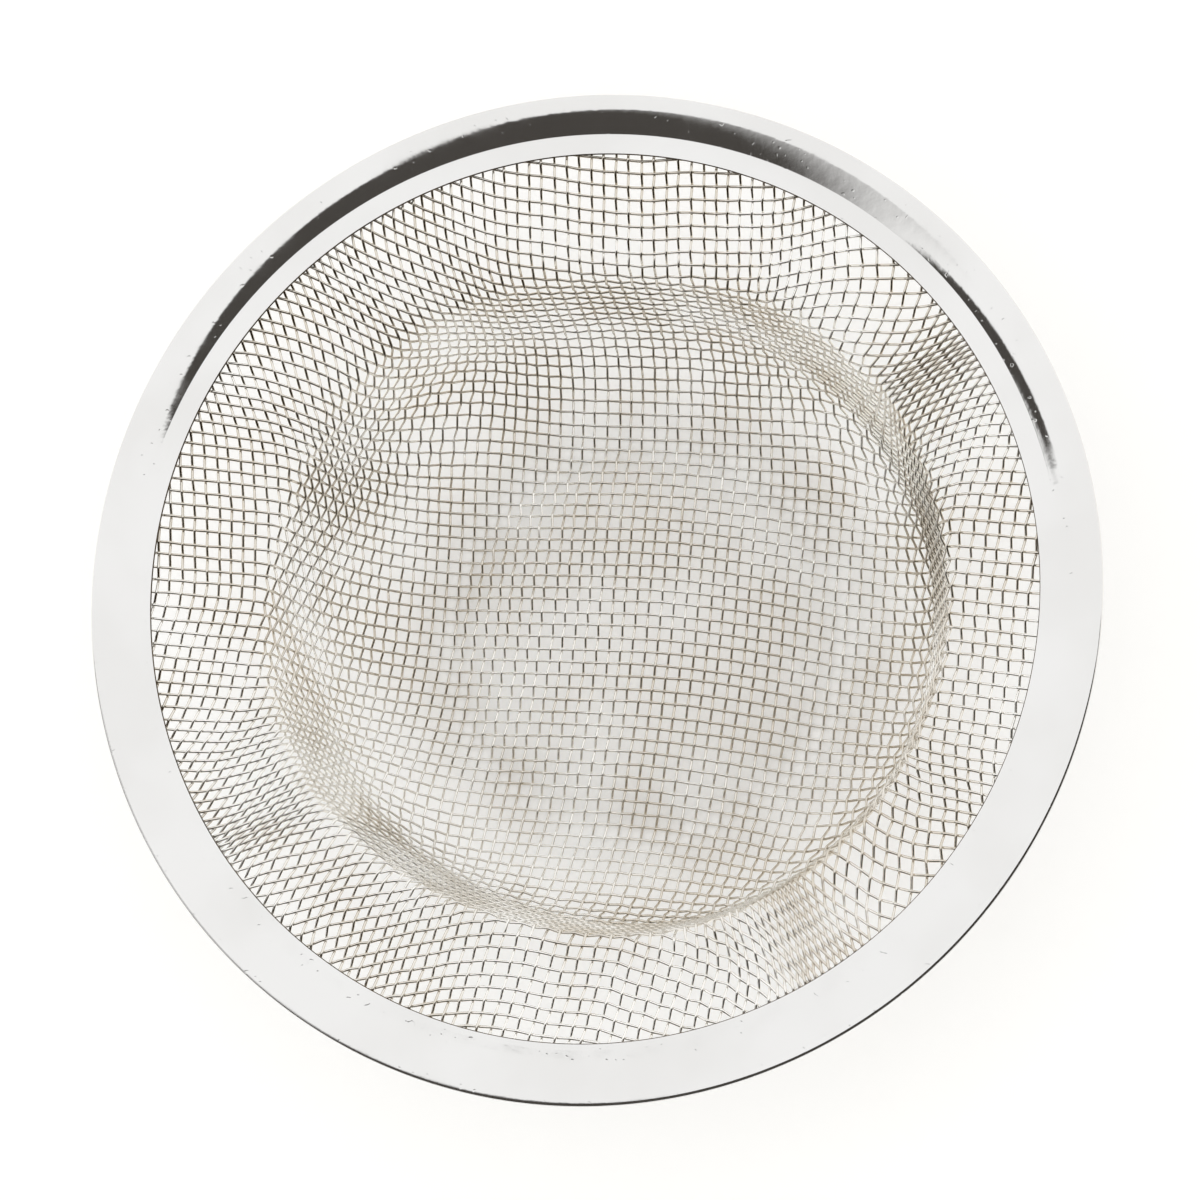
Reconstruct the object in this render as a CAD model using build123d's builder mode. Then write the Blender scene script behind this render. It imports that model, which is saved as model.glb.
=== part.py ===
from build123d import *
from math import atan, ceil, cos, degrees, radians, sin, tan
import os

# A kitchen sink strainer: a pressed basket of woven wire cloth, clamped in the hem of a folded steel rim ring.
# The cloth is made as a skin with a coarse grid of gaps, whose bars stand for bundles of its fine wires.
# Millimetres and degrees. The strainer's axis is Z, and the lowest ring of the basket stands on Z = 0.

# Driving sizes of the whole
rim_outer_radius = 57.15
overall_height = 31.4

# Driving sizes of the rim: a sheet with a flat land, a crease, a crowned band, and a tight fold back under to a lip
sheet_thickness = 0.3
rim_width = 6.85
land_width = 2.3
crease_radius = 0.5
crown_rise = 1.0
fold_radius = 0.25
return_angle = 45
return_bend_radius = 0.8
lip_setback = 0.7
land_edge_break = 0.08

# Driving sizes of the cloth: two layers of crossing wires
wire_diameter = 0.34
cloth_edge_clearance = 0.3

# Driving sizes of the coarse grid: gaps across the basket, the bar between two gaps, and the skin left at the rim
gap_count = 12
bar_width = 2
gap_margin = 0.9

# Driving sizes of the basket's meridian, at the cloth's middle surface. The setback runs in from the rim's opening.
valley_ring_setback = 26.5
valley_bend_radius = 3.6
dome_edge_angle = 19
heel_start_angle = 8
heel_bend_radius = 15
wall_angle = 81
shoulder_bend_radius = 4.5
skirt_angle = 20
hem_bend_radius = 2.5

# The rim's middle line. The crowned band climbs from the crease to the crown, which sets its angle and radius.
# The return leg slopes down and inwards from the fold, as far as the lip lies below the crown.
cloth_thickness = 2 * wire_diameter
half_sheet = sheet_thickness / 2
half_cloth = cloth_thickness / 2
crown_radius = rim_outer_radius - half_sheet - fold_radius
rim_opening_radius = rim_outer_radius - rim_width
crease_start_radius = rim_opening_radius + land_width
band_width = crown_radius - crease_start_radius
band_angle = degrees(2 * atan(crown_rise / band_width))
band_bend_radius = band_width / sin(radians(band_angle)) - crease_radius
land_z = overall_height - half_sheet - crown_rise
return_sine = sin(radians(return_angle))
return_cosine = cos(radians(return_angle))
lip_drop = crown_rise + sheet_thickness + cloth_thickness
return_drop = lip_drop - fold_radius * (1 + return_cosine) - return_bend_radius * (1 - return_cosine)
return_length = return_drop / return_sine
lip_start_radius = crown_radius + (fold_radius - return_bend_radius) * return_sine - return_length * return_cosine
lip_edge_radius = rim_opening_radius + lip_setback

# The basket's middle line. The cloth lies flat in the hem, between the land and the lip.
hem_z = land_z - half_sheet - half_cloth
cloth_edge_radius = lip_start_radius - cloth_edge_clearance
valley_ring_radius = rim_opening_radius - valley_ring_setback
dome_radius = valley_ring_radius / sin(radians(dome_edge_angle)) - valley_bend_radius
dome_top_z = half_cloth + (dome_radius + valley_bend_radius) * (1 - cos(radians(dome_edge_angle)))

# The coarse grid has one pitch along X, Y and Z. Its lowest row of gaps starts below the basket.
gap_reach = rim_opening_radius - gap_margin
gap_pitch = 2 * gap_reach / gap_count
gap_width = gap_pitch - bar_width
gap_start_z = -cloth_thickness
gap_rows = ceil((hem_z - gap_start_z) / gap_pitch)


def arc_span(radius, start_angle, end_angle):
    """Give how far an arc between two slopes reaches outwards and upwards."""
    outwards = radius * (sin(radians(end_angle)) - sin(radians(start_angle)))
    upwards = radius * (cos(radians(start_angle)) - cos(radians(end_angle)))
    return abs(outwards), abs(upwards)


# The wall and the skirt are straight, and meet in the shoulder bend. Their lines start from the heel and the hem.
valley_reach, valley_climb = arc_span(valley_bend_radius, 0, heel_start_angle)
heel_reach, heel_climb = arc_span(heel_bend_radius, heel_start_angle, wall_angle)
hem_reach, hem_climb = arc_span(hem_bend_radius, 0, skirt_angle)
gap_outwards = lip_edge_radius - hem_reach - (valley_ring_radius + valley_reach + heel_reach)
gap_upwards = hem_z - hem_climb - (half_cloth + valley_climb + heel_climb)
shoulder_turn = wall_angle - skirt_angle
shoulder_tangent = shoulder_bend_radius * tan(radians(shoulder_turn / 2))
wall_to_corner = gap_upwards * cos(radians(skirt_angle)) - gap_outwards * sin(radians(skirt_angle))
skirt_to_corner = gap_outwards * sin(radians(wall_angle)) - gap_upwards * cos(radians(wall_angle))
wall_length = wall_to_corner / sin(radians(shoulder_turn)) - shoulder_tangent
skirt_length = skirt_to_corner / sin(radians(shoulder_turn)) - shoulder_tangent

# Each run of a middle line is a size and a turn: the length of a straight run, or the radius and turn of an arc
rim_runs = [
    (land_width, 0),
    (crease_radius, band_angle),
    (band_bend_radius, -band_angle),
    (fold_radius, return_angle - 180),
    (return_length, 0),
    (return_bend_radius, -return_angle),
    (lip_start_radius - lip_edge_radius, 0),
]
basket_runs = [
    (dome_radius, -dome_edge_angle),
    (valley_bend_radius, dome_edge_angle + heel_start_angle),
    (heel_bend_radius, wall_angle - heel_start_angle),
    (wall_length, 0),
    (shoulder_bend_radius, -shoulder_turn),
    (skirt_length, 0),
    (hem_bend_radius, -skirt_angle),
    (cloth_edge_radius - lip_edge_radius, 0),
]


def draw_surface(runs, start, shift):
    """Draw one surface of a sheet, shifted to the left of its middle line, and give its two ends."""
    heading = 0
    first = Vector(start[0], start[1] + shift)
    point = first
    for size, turn in runs:
        direction = Vector(1, 0).rotate(Axis.Z, heading)
        if turn == 0:
            run = Line(point, point + direction * size)
        else:
            side = 1 if turn > 0 else -1
            run = JernArc(point, direction, size - side * shift, turn)
        point = run @ 1
        heading = heading + turn
    return first, point


def draw_section(runs, start, thickness):
    """Draw the closed outline of a bent sheet: its two surfaces and the two ends between them."""
    upper_start, upper_end = draw_surface(runs, start, thickness / 2)
    lower_start, lower_end = draw_surface(runs, start, -thickness / 2)
    Line(upper_start, lower_start)
    Line(upper_end, lower_end)


os.makedirs("parts", exist_ok=True)

# Rim ring: one folded sheet, open between its land and its lip, where the cloth's edge goes in
with BuildPart() as rim_ring:
    with BuildSketch(Plane.XZ) as rim_section:
        with BuildLine():
            draw_section(rim_runs, (rim_opening_radius, land_z), sheet_thickness)
        make_face()
        fillet(rim_section.vertices().group_by(Axis.X)[0], land_edge_break)
    revolve(axis=Axis.Z)
rim_ring.part.label = "rim_ring"
export_step(rim_ring.part, "parts/rim_ring.step")

# Coarse grid: the square gaps whose middle lies inside the basket, cut round along its edge
with BuildSketch() as gap_grid:
    for place in GridLocations(gap_pitch, gap_pitch, gap_count, gap_count):
        if place.position.length < gap_reach:
            with Locations(place.position):
                Rectangle(gap_width, gap_width)
    Circle(gap_reach, mode=Mode.INTERSECT)

# Basket: the cloth as one skin, two wires thick, from the middle of the dome to its edge in the hem, with its gaps
with BuildPart() as basket_cloth:
    with BuildSketch(Plane.XZ) as basket_section:
        with BuildLine():
            draw_section(basket_runs, (0, dome_top_z), cloth_thickness)
        make_face()
    revolve(axis=Axis.Z)
    for row in range(gap_rows):
        row_place = Location((0, 0, gap_start_z + row * gap_pitch))
        extrude(gap_grid.sketch.moved(row_place), amount=gap_width, mode=Mode.SUBTRACT)
basket_cloth.part.label = "basket_cloth"
export_step(basket_cloth.part, "parts/basket_cloth.step")
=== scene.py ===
"""Kitchen sink strainer: a woven steel wire basket held in the folded hem of a polished rim ring."""

import logging
import math
from collections.abc import Callable
from dataclasses import dataclass
from enum import Enum

import bpy
import numpy as np
from mathutils import Matrix, Vector


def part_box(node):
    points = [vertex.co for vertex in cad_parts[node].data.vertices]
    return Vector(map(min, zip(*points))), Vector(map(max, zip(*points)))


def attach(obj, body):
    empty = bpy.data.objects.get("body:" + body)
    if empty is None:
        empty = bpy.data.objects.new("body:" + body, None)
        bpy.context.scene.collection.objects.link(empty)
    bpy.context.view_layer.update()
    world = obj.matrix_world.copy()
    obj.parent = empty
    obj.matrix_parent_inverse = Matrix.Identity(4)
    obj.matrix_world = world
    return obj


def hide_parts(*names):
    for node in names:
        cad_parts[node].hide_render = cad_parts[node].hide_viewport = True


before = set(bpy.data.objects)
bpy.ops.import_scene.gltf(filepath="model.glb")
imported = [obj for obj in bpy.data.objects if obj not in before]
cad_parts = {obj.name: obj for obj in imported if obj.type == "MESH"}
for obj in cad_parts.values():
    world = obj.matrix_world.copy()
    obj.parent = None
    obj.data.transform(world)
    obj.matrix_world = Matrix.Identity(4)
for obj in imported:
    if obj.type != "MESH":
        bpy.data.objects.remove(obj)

MM = 0.001
TURN = 2 * math.pi
LOG = logging.getLogger("sink_strainer")
Source = bpy.types.NodeSocket | float | tuple[float, ...]


class WireSet(Enum):
    """The two sets of wires of the cloth, by the direction that they run in."""

    WARP = "warp"
    WEFT = "weft"


@dataclass(frozen=True)
class Run:
    """One run of a bent sheet's middle line.

    A straight run has a length and no turn. An arc has a radius and a turn in degrees, positive upwards.
    """

    size: float
    turn: float = 0.0

    def length(self) -> float:
        """Give the run's length along the middle line."""
        return self.size if self.turn == 0 else self.size * abs(math.radians(self.turn))


def trace_runs(runs: list[Run], start: tuple[float, float], step: float, bend_step: float) -> np.ndarray:
    """Walk along a chain of tangent runs in the plane through the axis.

    Args:
        runs: The straight runs and arcs, in order. The first one heads straight outwards.
        start: Radius and height where the line starts.
        step: Longest distance between two points.
        bend_step: Largest turn between two points, in degrees.

    Returns:
        One row per point: distance walked, radius, height and slope in radians.
    """
    rows = [(0.0, start[0], start[1], 0.0)]
    for run in runs:
        count = max(1, math.ceil(run.length() / step), math.ceil(abs(run.turn) / bend_step))
        stride = run.length() / count
        bend = math.radians(run.turn) / count
        for _ in range(count):
            walked, radius, height, slope = rows[-1]
            middle = slope + bend / 2
            chord = stride * (math.sin(bend / 2) / (bend / 2) if bend else 1.0)
            rows.append((
                walked + stride,
                radius + chord * math.cos(middle),
                height + chord * math.sin(middle),
                slope + bend,
            ))
    return np.array(rows)


@dataclass
class SheetSizes:
    """Sizes that the rim and the basket share, as in the solids."""

    rim_outer_radius: float
    overall_height: float
    sheet_thickness: float = 0.3 * MM
    rim_width: float = 6.85 * MM
    land_width: float = 2.3 * MM
    crease_radius: float = 0.5 * MM
    crown_rise: float = 1.0 * MM
    fold_radius: float = 0.25 * MM
    return_angle: float = 45.0
    return_bend_radius: float = 0.8 * MM
    lip_setback: float = 0.7 * MM
    wire_diameter: float = 0.34 * MM

    @property
    def rim_opening_radius(self) -> float:
        """Distance from the axis to the edge of the opening."""
        return self.rim_outer_radius - self.rim_width

    @property
    def cloth_thickness(self) -> float:
        """Two crossing wires."""
        return 2 * self.wire_diameter

    @property
    def crown_radius(self) -> float:
        """Distance from the axis to the ring where the fold starts."""
        return self.rim_outer_radius - self.sheet_thickness / 2 - self.fold_radius

    @property
    def return_length(self) -> float:
        """Length of the straight leg that slopes down from the fold to the lip."""
        cosine = math.cos(math.radians(self.return_angle))
        drop = self.crown_rise + self.sheet_thickness + self.cloth_thickness
        drop -= self.fold_radius * (1 + cosine) + self.return_bend_radius * (1 - cosine)
        return drop / math.sin(math.radians(self.return_angle))

    @property
    def lip_start_radius(self) -> float:
        """Distance from the axis to the ring where the flat lip starts."""
        angle = math.radians(self.return_angle)
        reach = (self.fold_radius - self.return_bend_radius) * math.sin(angle)
        return self.crown_radius + reach - self.return_length * math.cos(angle)

    @property
    def lip_edge_radius(self) -> float:
        """Distance from the axis to the inner edge of the lip under the cloth."""
        return self.rim_opening_radius + self.lip_setback

    @property
    def land_height(self) -> float:
        """Height of the middle of the land's sheet."""
        return self.overall_height - self.sheet_thickness / 2 - self.crown_rise

    @property
    def hem_height(self) -> float:
        """Height of the middle of the cloth between the land and the lip."""
        return self.land_height - (self.sheet_thickness + self.cloth_thickness) / 2


def mesh_object(name: str, points: np.ndarray, faces: list[list[int]]) -> bpy.types.Object:
    """Make a smooth mesh object at the origin from points in the shared frame.

    Args:
        name: Name of the piece.
        points: One row per vertex.
        faces: Vertex numbers of each face.

    Returns:
        The new object, linked to the scene.
    """
    mesh = bpy.data.meshes.new(name)
    mesh.from_pydata(points.tolist(), [], faces)
    mesh.validate()
    mesh.shade_smooth()
    piece = bpy.data.objects.new(name, mesh)
    bpy.context.scene.collection.objects.link(piece)
    return piece


class NodeBench:
    """A node tree with short calls for adding and joining nodes."""

    def __init__(self, tree: bpy.types.NodeTree) -> None:
        """Keep the tree that the nodes go into."""
        self.tree = tree

    def add(self, kind: str, **values: object) -> bpy.types.Node:
        """Add a node and set its properties.

        Args:
            kind: Blender's name of the node type.
            values: Properties of the node, by name.

        Returns:
            The new node.
        """
        node = self.tree.nodes.new(kind)
        for key, value in values.items():
            setattr(node, key, value)
        return node

    def feed(self, socket: bpy.types.NodeSocket, source: Source) -> None:
        """Join a socket to another one, or set its own value.

        Args:
            socket: The input socket.
            source: An output socket, or a plain value.
        """
        if isinstance(source, bpy.types.NodeSocket):
            self.tree.links.new(source, socket)
        else:
            socket.default_value = source

    def math(self, operation: str, *inputs: Source) -> bpy.types.NodeSocket:
        """Add a Math node.

        Args:
            operation: The node's operation.
            inputs: Output sockets or numbers.

        Returns:
            The node's output.
        """
        node = self.add("ShaderNodeMath", operation=operation)
        for socket, source in zip(node.inputs, inputs):
            self.feed(socket, source)
        return node.outputs[0]

    def ramp(
        self, value: Source, low: float, high: float, start: float = 0.0, end: float = 1.0,
    ) -> bpy.types.NodeSocket:
        """Map a value smoothly from one range to another.

        Args:
            value: Output socket or number.
            low: Value that gives the start.
            high: Value that gives the end.
            start: Result at or below low.
            end: Result at or above high.

        Returns:
            The mapped value.
        """
        node = self.add("ShaderNodeMapRange", interpolation_type="SMOOTHSTEP")
        names = ("Value", "From Min", "From Max", "To Min", "To Max")
        for name, source in zip(names, (value, low, high, start, end)):
            self.feed(node.inputs[name], source)
        return node.outputs["Result"]

    def mix_colour(self, mask: Source, first: Source, second: Source) -> bpy.types.NodeSocket:
        """Mix two colours by a mask and give the mixed colour."""
        # The node has sockets for every type of data, and these are the ones for colour.
        node = self.add("ShaderNodeMix", data_type="RGBA")
        self.feed(node.inputs[0], mask)
        self.feed(node.inputs[6], first)
        self.feed(node.inputs[7], second)
        return node.outputs[2]


def wear_group() -> bpy.types.NodeTree:
    """Build the group that gives handled steel its uneven tone, its smears and its fine scratches.

    Returns:
        The node group. It puts out a tone mask, a smear mask, a height and a pit mask, each from 0 to 1.
    """
    name = "handled_steel"
    if name in bpy.data.node_groups:
        return bpy.data.node_groups[name]
    group = bpy.data.node_groups.new(name, "ShaderNodeTree")
    for label, default in (
        ("Cloud Scale", 60.0), ("Smear Scale", 240.0), ("Scratch Scale", 900.0), ("Pit Scale", 1600.0),
    ):
        socket = group.interface.new_socket(name=label, in_out="INPUT", socket_type="NodeSocketFloat")
        socket.default_value = default
    group.interface.new_socket(name="Vector", in_out="INPUT", socket_type="NodeSocketVector")
    for label in ("Tone", "Smear", "Height", "Pits"):
        group.interface.new_socket(name=label, in_out="OUTPUT", socket_type="NodeSocketFloat")
    bench = NodeBench(group)
    inside = bench.add("NodeGroupInput")
    outside = bench.add("NodeGroupOutput")
    for label, scale, detail, low, high in (
        ("Tone", "Cloud Scale", 3.0, 0.35, 0.65),
        ("Smear", "Smear Scale", 4.0, 0.4, 0.7),
        ("Height", "Scratch Scale", 2.0, 0.2, 0.8),
        ("Pits", "Pit Scale", 0.0, 0.74, 0.82),
    ):
        noise = bench.add("ShaderNodeTexNoise")
        bench.feed(noise.inputs["Vector"], inside.outputs["Vector"])
        bench.feed(noise.inputs["Scale"], inside.outputs[scale])
        noise.inputs["Detail"].default_value = detail
        bench.feed(outside.inputs[label], bench.ramp(noise.outputs[0], low, high))
    return group


def worn_metal(name: str) -> tuple[bpy.types.Material, NodeBench, bpy.types.Node, bpy.types.Node]:
    """Start a metal with the wear group laid over the object.

    Args:
        name: The material's name.

    Returns:
        The material, a bench on its nodes, its shader and its wear node.
    """
    material = bpy.data.materials.new(name)
    material.use_nodes = True
    bench = NodeBench(material.node_tree)
    shader = material.node_tree.nodes["Principled BSDF"]
    place = bench.add("ShaderNodeTexCoord")
    wear = bench.add("ShaderNodeGroup", node_tree=wear_group())
    bench.feed(wear.inputs["Vector"], place.outputs["Object"])
    return material, bench, shader, wear


@dataclass(frozen=True)
class PolishedSheet:
    """Finish of the rim: bright polished stainless sheet with a faint waviness round the ring."""

    colour: tuple[float, float, float, float] = (0.83, 0.825, 0.815, 1.0)
    dull_colour: tuple[float, float, float, float] = (0.79, 0.783, 0.77, 1.0)
    haze: float = 0.06
    roughness: float = 0.05
    smear_roughness: float = 0.1
    pit_depth: float = 2.0
    bump_strength: float = 0.5
    bump_distance: float = 0.006 * MM

    def material(self) -> bpy.types.Material:
        """Build the material."""
        material, bench, shader, wear = worn_metal("polished_sheet")
        tone = bench.mix_colour(wear.outputs["Tone"], self.colour, self.dull_colour)
        bench.feed(shader.inputs["Base Color"], tone)
        smear = bench.ramp(wear.outputs["Smear"], 0.0, 1.0, self.roughness, self.smear_roughness)
        bench.feed(shader.inputs["Roughness"], smear)
        shader.inputs["Metallic"].default_value = 1.0 - self.haze
        bump = bench.add("ShaderNodeBump")
        bump.inputs["Strength"].default_value = self.bump_strength
        bump.inputs["Distance"].default_value = self.bump_distance
        pits = bench.math("MULTIPLY", wear.outputs["Pits"], -self.pit_depth)
        bench.feed(bump.inputs["Height"], bench.math("ADD", wear.outputs["Height"], pits))
        bench.feed(shader.inputs["Normal"], bump.outputs["Normal"])
        return material


@dataclass(frozen=True)
class CutEdgePaintedShade:
    """Finish of the rim's cut edge: rough like a sheared edge, with painted shade: its near-black brown
    colour stands in for the shade in the gap between the edge and the cloth under it.
    """

    # Painted shade: both colours are near-black brown, for the shade in the gap under the cut edge.
    colour: tuple[float, float, float, float] = (0.12, 0.085, 0.05, 1.0)
    dull_colour: tuple[float, float, float, float] = (0.06, 0.045, 0.03, 1.0)
    roughness: float = 0.5

    def material(self) -> bpy.types.Material:
        """Build the material."""
        material, bench, shader, wear = worn_metal("cut_edge_painted_shade")
        # Painted shade, varied a little by the smear mask.
        tone = bench.mix_colour(wear.outputs["Smear"], self.colour, self.dull_colour)
        bench.feed(shader.inputs["Base Color"], tone)
        shader.inputs["Roughness"].default_value = self.roughness
        shader.inputs["Metallic"].default_value = 1.0
        return material


@dataclass(frozen=True)
class DrawnWire:
    """Finish of the wires: bright drawn stainless, a little warmer and duller than the rim."""

    colour: tuple[float, float, float, float] = (0.93, 0.915, 0.88, 1.0)
    dull_colour: tuple[float, float, float, float] = (0.72, 0.67, 0.59, 1.0)
    roughness: float = 0.04
    smear_roughness: float = 0.08
    cloud_scale: float = 90.0
    smear_scale: float = 1400.0
    scratch_scale: float = 6000.0
    bump_strength: float = 0.15
    bump_distance: float = 0.004 * MM

    def material(self) -> bpy.types.Material:
        """Build the material."""
        material, bench, shader, wear = worn_metal("drawn_wire")
        wear.inputs["Cloud Scale"].default_value = self.cloud_scale
        wear.inputs["Smear Scale"].default_value = self.smear_scale
        wear.inputs["Scratch Scale"].default_value = self.scratch_scale
        tone = bench.mix_colour(wear.outputs["Tone"], self.colour, self.dull_colour)
        bench.feed(shader.inputs["Base Color"], tone)
        smear = bench.ramp(wear.outputs["Smear"], 0.0, 1.0, self.roughness, self.smear_roughness)
        bench.feed(shader.inputs["Roughness"], smear)
        shader.inputs["Metallic"].default_value = 1.0
        bump = bench.add("ShaderNodeBump")
        bump.inputs["Strength"].default_value = self.bump_strength
        bump.inputs["Distance"].default_value = self.bump_distance
        bench.feed(bump.inputs["Height"], wear.outputs["Height"])
        bench.feed(shader.inputs["Normal"], bump.outputs["Normal"])
        return material


@dataclass
class RimRing:
    """The folded rim: a flat land, a crease, a crowned band and a tight fold back under to a lip."""

    sizes: SheetSizes
    segments: int = 720
    straight_step: float = 0.8 * MM
    bend_step: float = 8.0
    edge_break: float = 0.08 * MM
    edge_break_points: int = 3

    def runs(self) -> list[Run]:
        """List the runs of the sheet's middle line, from the land's inner edge to the lip's."""
        sizes = self.sizes
        band_width = sizes.crown_radius - sizes.rim_opening_radius - sizes.land_width
        band_angle = math.degrees(2 * math.atan(sizes.crown_rise / band_width))
        band_bend = band_width / math.sin(math.radians(band_angle)) - sizes.crease_radius
        return [
            Run(sizes.land_width),
            Run(sizes.crease_radius, band_angle),
            Run(band_bend, -band_angle),
            Run(sizes.fold_radius, sizes.return_angle - 180.0),
            Run(sizes.return_length),
            Run(sizes.return_bend_radius, -sizes.return_angle),
            Run(sizes.lip_start_radius - sizes.lip_edge_radius),
        ]

    def outline(self) -> np.ndarray:
        """Draw the sheet's closed section, with its two cut edges rounded.

        Returns:
            Radius and height of each point, in order round the section.
        """
        sizes = self.sizes
        start = (sizes.rim_opening_radius, sizes.land_height)
        line = trace_runs(self.runs(), start, self.straight_step, self.bend_step)
        normal = np.stack([-np.sin(line[:, 3]), np.cos(line[:, 3])], axis=1)
        along = np.stack([np.cos(line[:, 3]), np.sin(line[:, 3])], axis=1)
        half = sizes.sheet_thickness / 2
        upper = line[:, 1:3] + normal * half
        lower = line[:, 1:3] - normal * half
        return np.concatenate([
            self.rounded_end(line[0, 1:3], normal[0], -along[0], half),
            upper[1:-1],
            self.rounded_end(line[-1, 1:3], -normal[-1], along[-1], half),
            lower[-2:0:-1],
        ])

    def rounded_end(
        self, centre: np.ndarray, side: np.ndarray, outwards: np.ndarray, half: float,
    ) -> np.ndarray:
        """Draw a cut edge of the sheet with both corners broken.

        Args:
            centre: Middle of the cut edge.
            side: Direction across the sheet in which the points end.
            outwards: Direction in which the sheet ends.
            half: Half the sheet's thickness.

        Returns:
            The points from one surface, round the edge, to the other.
        """
        points = []
        for corner_side, order in ((-1, 1), (1, -1)):
            corner = centre + side * corner_side * (half - self.edge_break) - outwards * self.edge_break
            for k in range(self.edge_break_points + 1):
                share = k / self.edge_break_points
                angle = (share if order == 1 else 1 - share) * math.pi / 2
                points.append(corner + self.edge_break * (
                    side * corner_side * math.cos(angle) + outwards * math.sin(angle)))
        return np.array(points)

    def build(self) -> bpy.types.Object:
        """Turn the section round the axis.

        Returns:
            The ring's object.
        """
        section = self.outline()
        angles = np.arange(self.segments) * TURN / self.segments
        radii = section[:, 0][None, :]
        heights = np.broadcast_to(section[:, 1][None, :], (self.segments, len(section)))
        points = np.stack([radii * np.cos(angles)[:, None], radii * np.sin(angles)[:, None], heights], axis=2)
        count = len(section)
        ring = np.arange(self.segments)[:, None] * count
        following = np.roll(ring, -1, axis=0)
        here = np.arange(count)[None, :]
        beside = np.roll(here, -1, axis=1)
        quads = np.stack([ring + here, following + here, following + beside, ring + beside], axis=2)
        piece = mesh_object("rim_ring_folded_sheet", points.reshape(-1, 3), quads.reshape(-1, 4).tolist())
        LOG.info("rim_ring_folded_sheet: %d faces", len(piece.data.polygons))
        return piece

    def dress(self, piece: bpy.types.Object) -> None:
        """Give the ring its finishes, with painted shade on the inner cut edge, and its place in the part."""
        piece.data.materials.append(PolishedSheet().material())
        piece.data.materials.append(CutEdgePaintedShade().material())
        # The faces round the inner cut edge take the second finish, the painted shade.
        cut = np.zeros((self.segments, len(piece.data.polygons) // self.segments), dtype=np.int32)
        cut[:, :2 * self.edge_break_points + 1] = 1
        piece.data.polygons.foreach_set("material_index", cut.ravel())
        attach(piece, "root")
        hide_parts("rim_ring")


@dataclass(frozen=True)
class Dent:
    """A place where the shoulder was pressed in or out, by its angle round the axis in degrees."""

    angle: float
    spread: float
    depth: float

    def push(self, angle: np.ndarray) -> np.ndarray:
        """Give how far the shoulder moves outwards at angles in radians."""
        away = np.degrees(np.angle(np.exp(1j * (angle - math.radians(self.angle)))))
        return self.depth * np.exp(-(away / self.spread) ** 2)


@dataclass(frozen=True)
class Ripple:
    """A shallow wave in the pressed cloth, by the direction that it runs in, in degrees."""

    direction: float
    wavelength: float
    height: float
    phase: float

    def lift(self, spots: np.ndarray) -> np.ndarray:
        """Give how far the cloth is lifted at spots of the flat cloth."""
        angle = math.radians(self.direction)
        along = spots[:, 0] * math.cos(angle) + spots[:, 1] * math.sin(angle)
        return self.height * np.sin(TURN * along / self.wavelength + self.phase)


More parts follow.
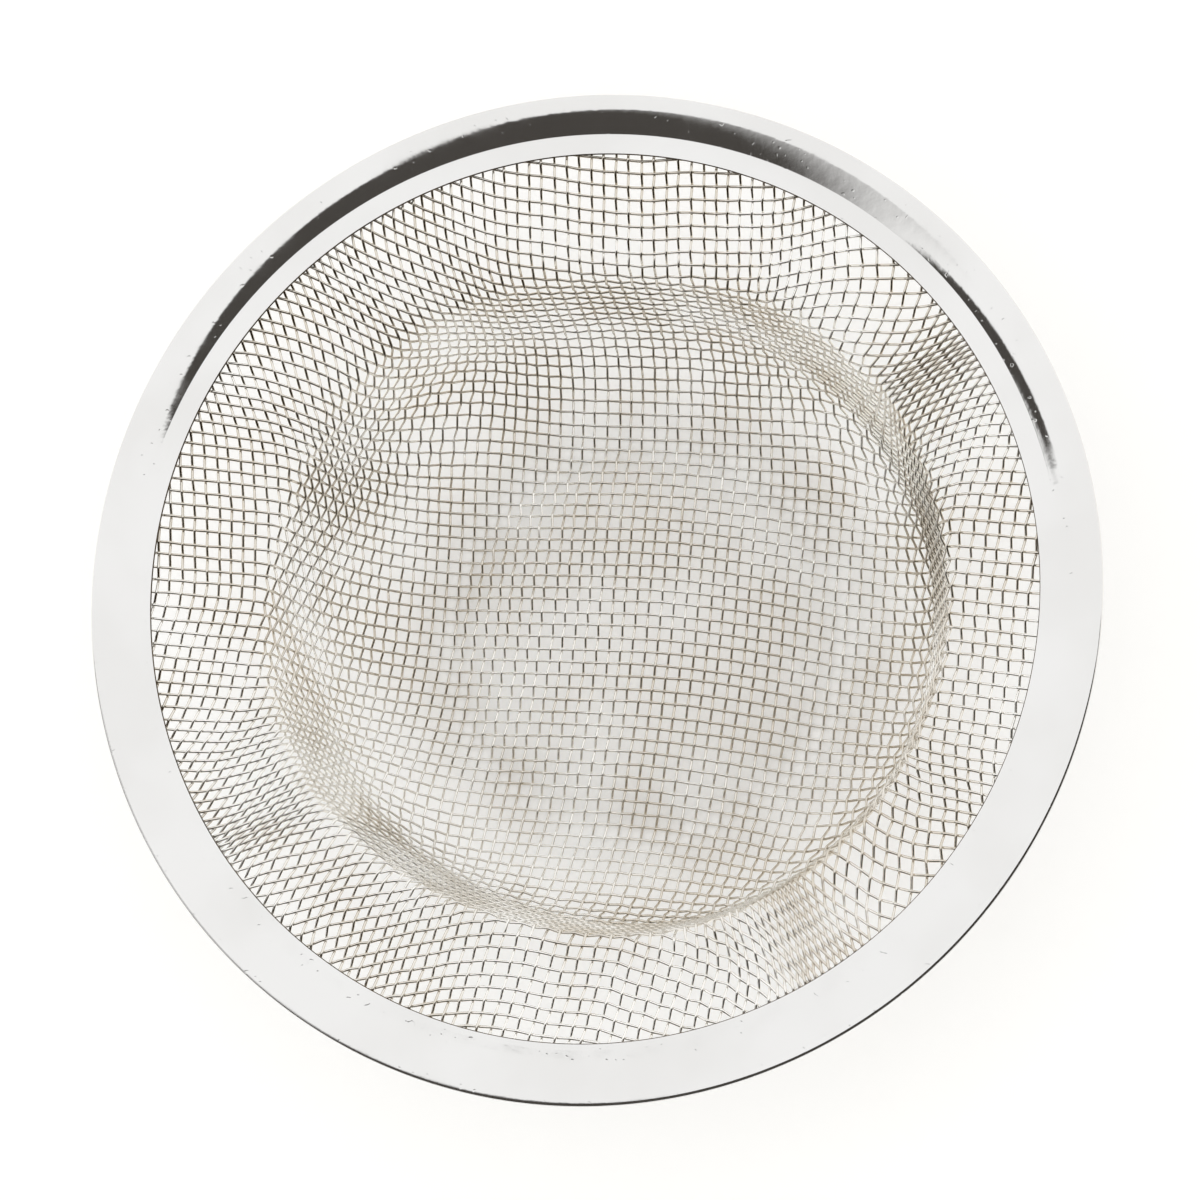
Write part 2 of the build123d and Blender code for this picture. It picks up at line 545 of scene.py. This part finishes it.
@dataclass
class PressedShape:
    """The middle surface of the basket: the meridian turned round the axis, then pressed out of true.

    A spot is a place on the flat cloth. Its distance from the middle is the distance walked along the
    meridian.
    """

    sizes: SheetSizes
    valley_ring_setback: float = 26.5 * MM
    valley_bend_radius: float = 3.6 * MM
    dome_edge_angle: float = 19.6
    heel_start_angle: float = 8.0
    heel_bend_radius: float = 15.0 * MM
    tight_heel_radius: float = 7.5 * MM
    wall_angle: float = 81.0
    shoulder_bend_radius: float = 4.5 * MM
    tight_shoulder_radius: float = 2.0 * MM
    tight_direction: float = -45.0
    skirt_angle: float = 20.0
    hem_bend_radius: float = 2.5 * MM
    hem_overlap: float = 9.0 * MM
    step: float = 0.1 * MM
    bend_step: float = 2.0
    floor_shift: tuple[float, float] = (1.8 * MM, -0.85 * MM)
    shoulder_shift: tuple[float, float] = (1.0 * MM, -0.2 * MM)
    shoulder_lift: float = 0.9 * MM
    shoulder_tilt: tuple[float, float] = (-0.75 * MM, -1.7 * MM)
    shoulder_warp: tuple[float, float] = (0.19 * MM, 0.0)
    dents: tuple[Dent, ...] = (
        Dent(88.0, 30.0, -1.0 * MM),
        Dent(118.0, 14.0, 0.5 * MM),
        Dent(53.0, 16.0, 0.5 * MM),
        Dent(167.0, 20.0, -0.8 * MM),
        Dent(-155.0, 20.0, 0.4 * MM),
        Dent(-108.0, 28.0, -1.3 * MM),
    )
    ripples: tuple[Ripple, ...] = (
        Ripple(20.0, 19.0 * MM, 0.12 * MM, 0.5),
        Ripple(75.0, 14.0 * MM, 0.1 * MM, 2.0),
        Ripple(130.0, 23.0 * MM, 0.15 * MM, 4.0),
        Ripple(160.0, 11.0 * MM, 0.07 * MM, 1.0),
    )

    def __post_init__(self) -> None:
        """Trace the two meridians once, and note the distances at which their runs end."""
        start = (0.0, self.dome_top())
        runs, tight_runs = self.runs(), self.tight_runs()
        self.meridian = trace_runs(runs, start, self.step, self.bend_step)
        self.tight_meridian = trace_runs(tight_runs, start, self.step, self.bend_step)
        # The tight heel and the floor before it stand for the one gentle heel, so their joint is left out.
        self.run_ends = np.cumsum([run.length() for run in runs])
        self.tight_run_ends = np.delete(np.cumsum([run.length() for run in tight_runs]), 2)

    @property
    def valley_ring_radius(self) -> float:
        """Distance from the axis to the ring that stands on the table."""
        return self.sizes.rim_opening_radius - self.valley_ring_setback

    def dome_radius(self) -> float:
        """Give the radius of the dome's arc."""
        reach = self.valley_ring_radius / math.sin(math.radians(self.dome_edge_angle))
        return reach - self.valley_bend_radius

    def dome_top(self) -> float:
        """Give the height of the middle of the dome, with the valley ring standing on the table."""
        lift = 1 - math.cos(math.radians(self.dome_edge_angle))
        return self.sizes.wire_diameter + (self.dome_radius() + self.valley_bend_radius) * lift

    @staticmethod
    def span(radius: float, start: float, end: float) -> tuple[float, float]:
        """Give how far an arc between two slopes reaches outwards and upwards."""
        low, high = math.radians(start), math.radians(end)
        return radius * abs(math.sin(high) - math.sin(low)), radius * abs(math.cos(high) - math.cos(low))

    def runs(self) -> list[Run]:
        """List the runs of the cloth's middle line, from the axis to inside the hem."""
        valley_reach, valley_climb = self.span(self.valley_bend_radius, 0.0, self.heel_start_angle)
        heel_reach, heel_climb = self.span(self.heel_bend_radius, self.heel_start_angle, self.wall_angle)
        hem_reach, hem_climb = self.span(self.hem_bend_radius, 0.0, self.skirt_angle)
        foot = self.valley_ring_radius + valley_reach + heel_reach
        outwards = self.sizes.lip_edge_radius - hem_reach - foot
        upwards = self.sizes.hem_height - hem_climb - self.sizes.wire_diameter - valley_climb - heel_climb
        turn = self.wall_angle - self.skirt_angle
        wall, skirt = math.radians(self.wall_angle), math.radians(self.skirt_angle)
        sine = math.sin(math.radians(turn))
        tangent = self.shoulder_bend_radius * math.tan(math.radians(turn / 2))
        wall_length = (upwards * math.cos(skirt) - outwards * math.sin(skirt)) / sine - tangent
        skirt_length = (outwards * math.sin(wall) - upwards * math.cos(wall)) / sine - tangent
        return [
            Run(self.dome_radius(), -self.dome_edge_angle),
            Run(self.valley_bend_radius, self.dome_edge_angle + self.heel_start_angle),
            Run(self.heel_bend_radius, self.wall_angle - self.heel_start_angle),
            Run(wall_length),
            Run(self.shoulder_bend_radius, -turn),
            Run(skirt_length),
            Run(self.hem_bend_radius, -self.skirt_angle),
            Run(self.hem_overlap),
        ]

    def tight_runs(self) -> list[Run]:
        """List the runs where the basket's floor goes on further, to a tight heel, and the shoulder is sharp.

        Both corners between the runs stay where they are.
        """
        dome, valley, heel, wall, shoulder, skirt, hem, end = self.runs()
        rise, steep = math.radians(self.heel_start_angle), math.radians(self.wall_angle)
        reach, climb = self.span(heel.size - self.tight_heel_radius, self.heel_start_angle, self.wall_angle)
        floor_length = (reach * math.sin(steep) - climb * math.cos(steep)) / math.sin(steep - rise)
        longer = (climb * math.cos(rise) - reach * math.sin(rise)) / math.sin(steep - rise)
        saved = (shoulder.size - self.tight_shoulder_radius) * math.tan(math.radians(abs(shoulder.turn) / 2))
        return [
            dome,
            valley,
            Run(floor_length),
            Run(self.tight_heel_radius, heel.turn),
            Run(wall.size + longer + saved),
            Run(self.tight_shoulder_radius, shoulder.turn),
            Run(skirt.size + saved),
            hem,
            end,
        ]

    def place(self, spots: np.ndarray) -> np.ndarray:
        """Give the places in the shared frame of spots of the flat cloth.

        Args:
            spots: One row per spot.

        Returns:
            One row of three coordinates per spot.
        """
        walked = np.hypot(spots[:, 0], spots[:, 1])
        angle = np.arctan2(spots[:, 1], spots[:, 0])
        tightness = (1 + np.cos(angle - math.radians(self.tight_direction))) / 2
        matched = np.interp(walked, np.append(0.0, self.run_ends), np.append(0.0, self.tight_run_ends))
        radius, height = (
            (1 - tightness) * np.interp(walked, self.meridian[:, 0], self.meridian[:, column])
            + tightness * np.interp(matched, self.tight_meridian[:, 0], self.tight_meridian[:, column])
            for column in (1, 2)
        )
        _, valley_end, heel_end, wall_end, shoulder_end, skirt_end, _, _ = self.run_ends
        shoulder = (wall_end + shoulder_end) / 2
        pressed = np.interp(walked, [valley_end, shoulder, skirt_end], [0.0, 1.0, 0.0])
        radius += pressed * sum(dent.push(angle) for dent in self.dents)
        loose = np.interp(walked, [valley_end, heel_end, shoulder, skirt_end], [0.3, 1.0, 1.0, 0.0])
        height += loose * sum(ripple.lift(spots) for ripple in self.ripples)
        tilt = self.shoulder_tilt[0] * np.cos(angle) + self.shoulder_tilt[1] * np.sin(angle)
        warp = self.shoulder_warp[0] * np.cos(2 * angle) + self.shoulder_warp[1] * np.sin(2 * angle)
        height += pressed * (self.shoulder_lift + tilt + warp)
        shifts = [
            np.interp(walked, [valley_end, shoulder, skirt_end], [floor, side, 0.0])
            for floor, side in zip(self.floor_shift, self.shoulder_shift)
        ]
        across, along = radius * np.cos(angle) + shifts[0], radius * np.sin(angle) + shifts[1]
        return np.stack([across, along, height], axis=1)

    def normals(self, spots: np.ndarray) -> np.ndarray:
        """Give the upward normals of the surface at spots of the flat cloth."""
        reach = self.step
        first = self.place(spots + (reach, 0.0)) - self.place(spots - (reach, 0.0))
        second = self.place(spots + (0.0, reach)) - self.place(spots - (0.0, reach))
        normal = np.cross(first, second)
        return normal / np.linalg.norm(normal, axis=1)[:, None]


@dataclass
class DrapedNet:
    """The cloth as a net of unstretchable wires that meet at pins, laid over the pressed surface."""

    shape: PressedShape
    warp_spacing: float = 1.467 * MM
    weft_spacing: float = 1.508 * MM
    spacing_drift: float = 0.001
    weft_angle: float = math.radians(-3.5)
    warp_angle: float = math.radians(85.2)
    bends: tuple[float, float, float, float] = (-8.2, 1.1, -1.9, -10.6)
    bend_reach: float = 15.0 * MM
    slide: float = 0.55
    slide_width: float = math.radians(14.0)
    reach: int = 52
    tries: int = 14
    nudge: float = 0.002 * MM
    longest_change: float = 0.5 * MM
    tolerance: float = 0.002 * MM

    def solve(self, guesses: np.ndarray, misses: Callable[[np.ndarray], np.ndarray]) -> np.ndarray:
        """Move spots until two conditions on their places hold.

        Args:
            guesses: One row per spot.
            misses: Function that takes the places and gives how far each one misses the two conditions.

        Returns:
            The spots, not a number where there is none that holds.
        """
        spots = guesses.copy()
        with np.errstate(invalid="ignore", divide="ignore"):
            for _ in range(self.tries):
                miss = misses(self.shape.place(spots))
                across = (misses(self.shape.place(spots + (self.nudge, 0.0))) - miss) / self.nudge
                along = (misses(self.shape.place(spots + (0.0, self.nudge))) - miss) / self.nudge
                spread = across[:, 0] * along[:, 1] - across[:, 1] * along[:, 0]
                change = np.stack([
                    miss[:, 1] * along[:, 0] - miss[:, 0] * along[:, 1],
                    miss[:, 0] * across[:, 1] - miss[:, 1] * across[:, 0],
                ], axis=1) / spread[:, None]
                spots = spots + np.clip(change, -self.longest_change, self.longest_change)
            held = np.abs(misses(self.shape.place(spots))).max(axis=1) < self.tolerance
            held &= np.hypot(spots[:, 0], spots[:, 1]) < self.shape.meridian[-1, 0]
        spots[~held] = np.nan
        return spots

    def spread_of_warp(self, number: np.ndarray) -> np.ndarray:
        """Give the distance from one warp wire to the next, by its number from the middle."""
        return self.warp_spacing * (1 + self.spacing_drift * number)

    def lay_axis(self, direction: float, bend: float, spacings: np.ndarray) -> np.ndarray:
        """Lay half a wire through the middle, seen from above a line that bends away and then runs straight.

        Args:
            direction: Angle round the axis at the middle, in radians.
            bend: How far the wire has turned where it runs straight, in degrees.
            spacings: Distance from each pin to the next.

        Returns:
            The spot of each pin, from the middle outwards.
        """
        ahead = np.array([math.cos(direction), math.sin(direction), 0.0])
        beside = np.array([-ahead[1], ahead[0], 0.0])
        line = [self.solve(np.zeros((1, 2)) - self.shape.floor_shift, lambda places: places[:, :2])]
        for spacing in spacings:
            last = self.shape.place(line[-1])
            stride = ahead[:2] * spacing if len(line) == 1 else line[-1] - line[-2]

            def misses(places: np.ndarray) -> np.ndarray:
                along = places @ ahead
                straight = along - self.bend_reach * (1 - np.exp(-along / self.bend_reach))
                aside = math.radians(bend) * straight
                gap = np.linalg.norm(places - last, axis=1)
                return np.stack([gap - spacing, places @ beside - aside], axis=1)

            line.append(self.solve(line[-1] + stride, misses))
        return np.concatenate(line)

    def lay(self) -> np.ndarray:
        """Lay the whole net, one quarter after another, from its two middle wires outwards.

        Returns:
            The spot of each pin, by its numbers along both wires, not a number where there is none.
        """
        count = 2 * self.reach + 1
        spots = np.full((count, count, 2), np.nan)
        middle = self.reach
        steps = np.arange(self.reach + 1)
        right, top, left, bottom = self.bends
        even = np.full(self.reach, self.weft_spacing)
        for sign, turned, across_bend, along_bend in ((1, 0.0, right, top), (-1, math.pi, left, bottom)):
            uneven = self.spread_of_warp(sign * (steps[1:] - 0.5))
            onwards = middle + sign * steps
            spots[onwards, middle] = self.lay_axis(self.weft_angle + turned, across_bend, uneven)
            spots[middle, onwards] = self.lay_axis(self.warp_angle + turned, along_bend, even)
        for along in (1, -1):
            for up in (1, -1):
                self.lay_quarter(spots, along, up)
        return self.slid(spots)

    def slid(self, spots: np.ndarray) -> np.ndarray:
        """Spread the wires where the weave is sheared most, at the skirt's diagonals, where they slide apart.

        Args:
            spots: The spots of all pins of an unstretchable net.

        Returns:
            The spots, turned round the axis away from the nearest diagonal.
        """
        walked = np.hypot(spots[..., 0], spots[..., 1])
        angle = np.arctan2(spots[..., 1], spots[..., 0])
        quarter = math.pi / 2
        diagonal = (self.weft_angle + self.warp_angle) / 2
        off = (angle - diagonal + quarter / 2) % quarter - quarter / 2
        _, valley_end, _, wall_end, _, _, _, _ = self.shape.run_ends
        share = self.slide * np.interp(walked, [valley_end, wall_end], [0.0, 1.0])
        turned = angle + share * off * np.exp(-(off / self.slide_width) ** 2)
        return np.stack([walked * np.cos(turned), walked * np.sin(turned)], axis=-1)

    def lay_quarter(self, spots: np.ndarray, along: int, up: int) -> None:
        """Lay one quarter of the net, one diagonal row of pins at a time.

        Args:
            spots: The spots of all pins, filled in place.
            along: 1 or -1, the quarter's side of the first middle wire.
            up: 1 or -1, the quarter's side of the second middle wire.
        """
        middle = self.reach
        for total in range(2, 2 * self.reach + 1):
            number = np.arange(max(1, total - self.reach), min(self.reach, total - 1) + 1)
            i = middle + along * number
            j = middle + up * (total - number)
            left, below, corner = spots[i - along, j], spots[i, j - up], spots[i - along, j - up]
            ends = [self.shape.place(left), self.shape.place(below)]
            gaps = [self.spread_of_warp(along * (number - 0.5)), self.weft_spacing]
            spots[i, j] = self.solve(left + below - corner, lambda places: np.stack([
                np.linalg.norm(places - end, axis=1) - gap for end, gap in zip(ends, gaps)], axis=1))


@dataclass
class WovenBasket:
    """The basket: every wire of the cloth, crimped over and under the wires that it crosses."""

    sizes: SheetSizes
    net: DrapedNet
    wire_end_radius: float = 54.0 * MM
    warp_crimp: float = 0.7
    hem_crimp: float = 0.5
    hem_blend: float = 1.2 * MM
    ring_shares: tuple[float, ...] = (0.0, 0.1, 0.2, 0.8, 0.9)
    bend_share: float = 0.15
    sides: int = 8
    groups_per_set: int = 4
    jitter: float = 0.05 * MM
    jitter_window: int = 9
    seed: int = 11

    def __post_init__(self) -> None:
        """Lay the net and find its pins' places and normals."""
        spots = self.net.lay()
        self.count = len(spots)
        flat = spots.reshape(-1, 2)
        self.places = self.net.shape.place(flat).reshape(self.count, self.count, 3)
        self.normals = self.net.shape.normals(flat).reshape(self.count, self.count, 3)
        self.shake()

    def shake(self) -> None:
        """Move each wire a little sideways, slowly along its length, as in real cloth."""
        chance = np.random.default_rng(self.seed)
        window = np.ones(self.jitter_window) / self.jitter_window
        for axis in (0, 1):
            raw = chance.normal(size=(self.count, self.count + self.jitter_window - 1))
            smooth = np.array([np.convolve(row, window, mode="valid") for row in raw])
            shift = self.jitter * math.sqrt(self.jitter_window) * smooth
            sideways = np.gradient(self.places, axis=axis)
            sideways /= np.linalg.norm(sideways, axis=2)[..., None]
            amount = shift if axis == 0 else shift.T
            moved = self.places + sideways * amount[..., None]
            self.places = np.where(np.isnan(sideways), self.places, moved)

    def wire(
        self, points: np.ndarray, normals: np.ndarray, lifts: np.ndarray,
    ) -> tuple[np.ndarray, np.ndarray]:
        """Draw one wire as a crimped tube.

        Args:
            points: The pins that the wire passes, in order.
            normals: The cloth's normals at the pins.
            lifts: How far the wire's middle is above each pin, along the normal.

        Returns:
            The tube's vertices, ring by ring, and its four-sided faces.
        """
        at = np.append(np.add.outer(np.arange(len(points) - 1), self.ring_shares), len(points) - 1)
        count = len(at)
        first = np.minimum(at.astype(int), len(points) - 2)
        share = (at - first)[:, None]
        padded = np.concatenate([2 * points[:1] - points[1:2], points, 2 * points[-1:] - points[-2:-1]])
        before, start, end, after = (padded[first + k] for k in range(4))
        centre = 0.5 * (
            2 * start
            + (end - before) * share
            + (2 * before - 5 * start + 4 * end - after) * share**2
            + (3 * start - before - 3 * end + after) * share**3
        )
        normal = normals[first] * (1 - share) + normals[first + 1] * share
        swing = self.swing(share[:, 0])
        centre = centre + normal * (lifts[first] * (1 - swing) + lifts[first + 1] * swing)[:, None]
        tangent = np.gradient(centre, at, axis=0)
        tangent /= np.linalg.norm(tangent, axis=1)[:, None]
        side = np.cross(tangent, normal)
        side /= np.linalg.norm(side, axis=1)[:, None]
        up = np.cross(side, tangent)
        turn = np.arange(self.sides) * TURN / self.sides
        radius = self.sizes.wire_diameter / 2
        upwards = up[:, None, :] * np.cos(turn)[None, :, None]
        sideways = side[:, None, :] * np.sin(turn)[None, :, None]
        vertices = (centre[:, None, :] + (upwards + sideways) * radius).reshape(-1, 3)
        base = np.arange(count - 1)[:, None] * self.sides
        here = np.arange(self.sides)[None, :]
        beside = np.roll(here, -1, axis=1)
        near, far = base + here, base + beside
        quads = np.stack([near, far, far + self.sides, near + self.sides], axis=2)
        return vertices, quads.reshape(-1, 4)

    def swing(self, share: np.ndarray) -> np.ndarray:
        """Give how far a wire has gone from one side of the cloth to the other between two pins.

        The wire is straight between the pins and bent only close to them.

        Args:
            share: How far along the wire is from one pin to the next, from 0 to 1.

        Returns:
            The part of the way across, from 0 to 1.
        """
        slope = 1 / (1 - self.bend_share)
        nearer = np.minimum(share, 1 - share)
        bent = slope * nearer**2 / (2 * self.bend_share)
        straight = 0.5 - slope * (0.5 - nearer)
        across = np.where(nearer < self.bend_share, bent, straight)
        return np.where(share < 0.5, across, 1 - across)

    def wires(self, kind: WireSet) -> list[tuple[np.ndarray, np.ndarray]]:
        """Draw every wire of one set, in order across the basket.

        The warp takes most of the crimp, and in the hem, where the sheet presses on it, no more than the
        weft does.

        Args:
            kind: Which set of wires.

        Returns:
            Each wire's vertices and faces.
        """
        points, normals = self.places, self.normals
        radius = np.hypot(points[..., 0], points[..., 1])
        present = radius < self.wire_end_radius
        number = np.arange(self.count)
        over = np.where((number[:, None] + number[None, :]) % 2 == 0, 1.0, -1.0)
        edge = self.sizes.rim_opening_radius
        crimp = np.interp(radius, [edge, edge + self.hem_blend], [self.warp_crimp, self.hem_crimp])
        lifts = over * crimp * self.sizes.wire_diameter
        if kind is WireSet.WEFT:
            lifts = (lifts - over * self.sizes.wire_diameter).T
            points, normals, present = points.transpose(1, 0, 2), normals.transpose(1, 0, 2), present.T
        drawn = []
        for line in range(self.count):
            changes = np.flatnonzero(np.diff(present[line])) + 1
            held = max(np.split(number, changes), key=lambda run: len(run) * present[line, run[0]])
            if len(held) > 2 and present[line, held[0]]:
                stretch = slice(held[0], held[-1] + 1)
                lifted = lifts[line, stretch]
                drawn.append(self.wire(points[line, stretch], normals[line, stretch], lifted))
        return drawn

    def join(self, name: str, drawn: list[tuple[np.ndarray, np.ndarray]]) -> bpy.types.Object:
        """Join some wires in one object, with a flat end on each."""
        vertices, faces, offset = [], [], 0
        for ring_points, quads in drawn:
            vertices.append(ring_points)
            last = offset + len(ring_points)
            faces += (quads + offset).tolist()
            faces.append(list(range(offset + self.sides - 1, offset - 1, -1)))
            faces.append(list(range(last - self.sides, last)))
            offset = last
        return mesh_object(name, np.concatenate(vertices), faces)

    def build(self) -> list[bpy.types.Object]:
        """Draw both sets of wires, in groups of neighbours.

        Returns:
            The groups' objects.
        """
        pieces = []
        for kind in WireSet:
            drawn = self.wires(kind)
            groups = np.array_split(np.arange(len(drawn)), self.groups_per_set)
            for number, members in enumerate(groups, start=1):
                name = f"{kind.value}_wires_{number}"
                pieces.append(self.join(name, [drawn[member] for member in members]))
                LOG.info("%s: %d wires, %d faces", name, len(members), len(pieces[-1].data.polygons))
        return pieces

    def dress(self, pieces: list[bpy.types.Object]) -> None:
        """Give the wires their finish and their place in the part."""
        material = DrawnWire().material()
        for piece in pieces:
            piece.data.materials.append(material)
            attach(piece, "root")
            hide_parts("basket_cloth")


@dataclass(frozen=True)
class SkyHalf:
    """A soft-edged half of the sky.

    A direction is in it where its part along facing is start or more, and wholly in it a width further.
    """

    facing: tuple[float, float, float]
    start: float
    width: float

    def mask(self, bench: NodeBench, direction: bpy.types.NodeSocket) -> bpy.types.NodeSocket:
        """Give the half's mask, from an output socket with the direction in the sky."""
        product = bench.add("ShaderNodeVectorMath", operation="DOT_PRODUCT")
        bench.feed(product.inputs[0], direction)
        product.inputs[1].default_value = self.facing
        return bench.ramp(product.outputs["Value"], self.start, self.start + self.width)


@dataclass
class Studio:
    """A white table under a bright sky, dark where the photographer stands."""

    room: SkyHalf = SkyHalf((0.15, -0.989, 0.0), 0.13, 0.04)
    overhead: SkyHalf = SkyHalf((-0.7, -0.715, 0.0), 0.11, 0.03)
    overhead_end: SkyHalf = SkyHalf((0.0, -1.0, 0.0), -0.03, 0.04)
    panel: SkyHalf = SkyHalf((0.788, -0.616, 0.0), -0.337, 0.25)
    side: SkyHalf = SkyHalf((-1.0, 0.0, 0.0), 0.59, 0.04)
    side_end: SkyHalf = SkyHalf((1.0, 0.0, 0.0), -0.75, 0.04)
    side_front: SkyHalf = SkyHalf((0.0, -1.0, 0.0), -0.08, 0.05)
    low: SkyHalf = SkyHalf((0.0, 0.0, -1.0), -0.38, 0.08)
    low_front: SkyHalf = SkyHalf((0.0, -1.0, 0.0), -0.1, 0.06)
    floor_radius: float = 2.0
    floor_height: float = -0.2 * MM
    floor_colour: tuple[float, float, float, float] = (0.92, 0.913, 0.893, 1.0)
    floor_glow: float = 0.15
    floor_roughness: float = 0.9
    sky_strength: float = 1.05
    dark_colour: tuple[float, float, float, float] = (0.015, 0.009, 0.003, 1.0)
    white: tuple[float, float, float, float] = (1.0, 1.0, 1.0, 1.0)

    def seen(self, bench: NodeBench) -> bpy.types.NodeSocket:
        """Give 1 to rays that come from the camera, straight or through glass."""
        path = bench.add("ShaderNodeLightPath")
        return bench.math("MAXIMUM", path.outputs["Is Camera Ray"], path.outputs["Is Transmission Ray"])

    def seen_or_mirrored(self, bench: NodeBench) -> bpy.types.NodeSocket:
        """Give 1 to rays that see the table itself, straight or in polished steel."""
        path = bench.add("ShaderNodeLightPath")
        return bench.math("MAXIMUM", path.outputs["Is Glossy Ray"], self.seen(bench))

    def build_sky(self) -> None:
        """Make the sky: white all round, with a dark part on the camera's side that only mirrors show."""
        world = bpy.data.worlds.new("studio_sky")
        bpy.context.scene.world = world
        world.use_nodes = True
        bench = NodeBench(world.node_tree)
        world.node_tree.nodes.clear()
        direction = bench.add("ShaderNodeTexCoord").outputs["Generated"]
        room = self.room.mask(bench, direction)
        overhead = self.overhead.mask(bench, direction)
        overhead_end = self.overhead_end.mask(bench, direction)
        panel = self.panel.mask(bench, direction)
        side = self.side.mask(bench, direction)
        side_end = self.side_end.mask(bench, direction)
        side_front = self.side_front.mask(bench, direction)
        low = self.low.mask(bench, direction)
        low_front = self.low_front.mask(bench, direction)
        near = bench.math("MAXIMUM", room, bench.math("MULTIPLY", overhead, overhead_end))
        front = bench.math("MULTIPLY", near, panel)
        stand = bench.math("MULTIPLY", bench.math("MULTIPLY", side, side_end), side_front)
        ground = bench.math("MULTIPLY", low, low_front)
        mirrored = bench.add("ShaderNodeLightPath").outputs["Is Glossy Ray"]
        dark = bench.math("MAXIMUM", bench.math("MAXIMUM", front, stand), ground)
        mask = bench.math("MULTIPLY", dark, mirrored)
        lit = bench.add("ShaderNodeBackground")
        bench.feed(lit.inputs["Color"], bench.mix_colour(mask, self.white, self.dark_colour))
        lit.inputs["Strength"].default_value = self.sky_strength
        plain = bench.add("ShaderNodeBackground")
        plain.inputs["Color"].default_value = self.white
        plain.inputs["Strength"].default_value = 1.0
        choice = bench.add("ShaderNodeMixShader")
        bench.feed(choice.inputs[0], self.seen(bench))
        bench.feed(choice.inputs[1], lit.outputs[0])
        bench.feed(choice.inputs[2], plain.outputs[0])
        out = bench.add("ShaderNodeOutputWorld")
        bench.feed(out.inputs["Surface"], choice.outputs[0])

    def build_floor(self) -> None:
        """Make the white table top that the strainer stands on."""
        corners = np.array([(-1, -1), (1, -1), (1, 1), (-1, 1)]) * self.floor_radius
        points = np.column_stack([corners, np.full(len(corners), self.floor_height)])
        floor = mesh_object("table_top", points, [[0, 1, 2, 3]])
        material = bpy.data.materials.new("white_table")
        material.use_nodes = True
        bench = NodeBench(material.node_tree)
        shader = material.node_tree.nodes["Principled BSDF"]
        shader.inputs["Base Color"].default_value = self.floor_colour
        shader.inputs["Roughness"].default_value = self.floor_roughness
        shader.inputs["Specular IOR Level"].default_value = 0.0
        shader.inputs["Emission Color"].default_value = self.white
        glow = bench.math("MULTIPLY", self.seen_or_mirrored(bench), self.floor_glow)
        bench.feed(shader.inputs["Emission Strength"], glow)
        floor.data.materials.append(material)


@dataclass
class PhotoCamera:
    """The camera of the photograph: nearly overhead, leaning towards the lower right."""

    focus_height: float
    distance: float = 350.0 * MM
    lean: float = math.radians(14.4)
    azimuth: float = math.radians(-45.0)
    image_side: float = 1200.0
    focal_pixels: float = 3140.0
    sensor_width: float = 36.0
    clip_start: float = 10.0 * MM
    aim_offset: tuple[float, float] = (1.78 * MM, -1.39 * MM)

    def build(self) -> bpy.types.Object:
        """Place the camera and make it the scene's.

        Returns:
            The camera's object.
        """
        data = bpy.data.cameras.new("photo_camera")
        data.sensor_width = self.sensor_width
        data.lens = data.sensor_width * self.focal_pixels / self.image_side
        data.clip_start = self.clip_start
        camera = bpy.data.objects.new("photo_camera", data)
        bpy.context.scene.collection.objects.link(camera)
        back = Vector((
            math.sin(self.lean) * math.cos(self.azimuth),
            math.sin(self.lean) * math.sin(self.azimuth),
            math.cos(self.lean),
        ))
        camera.location = Vector((0.0, 0.0, self.focus_height)) + back * self.distance
        view = camera.location - Vector((self.aim_offset[0], self.aim_offset[1], self.focus_height))
        right = Vector((0.0, 1.0, 0.0)).cross(view).normalized()
        up = view.normalized().cross(right)
        camera.matrix_world = matrix_from_axes(right, up, view.normalized(), camera.location)
        bpy.context.scene.camera = camera
        return camera


def matrix_from_axes(right: Vector, up: Vector, back: Vector, place: Vector) -> Matrix:
    """Give the world matrix of a camera from its three directions and its place."""
    matrix = Matrix((right, up, back)).transposed().to_4x4()
    matrix.translation = place
    return matrix


def main() -> None:
    """Build the strainer, its table, its light and its camera."""
    logging.basicConfig(level=logging.INFO, format="%(name)s: %(message)s")
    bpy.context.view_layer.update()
    _, rim_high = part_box("rim_ring")
    sizes = SheetSizes(rim_outer_radius=rim_high[0], overall_height=rim_high[2])
    rim = RimRing(sizes)
    rim.dress(rim.build())
    basket = WovenBasket(sizes, DrapedNet(PressedShape(sizes)))
    basket.dress(basket.build())
    studio = Studio()
    studio.build_sky()
    studio.build_floor()
    PhotoCamera(focus_height=sizes.overall_height - sizes.crown_rise).build()
    bpy.context.scene.view_settings.view_transform = "Standard"


if __name__ == "__main__":
    main()
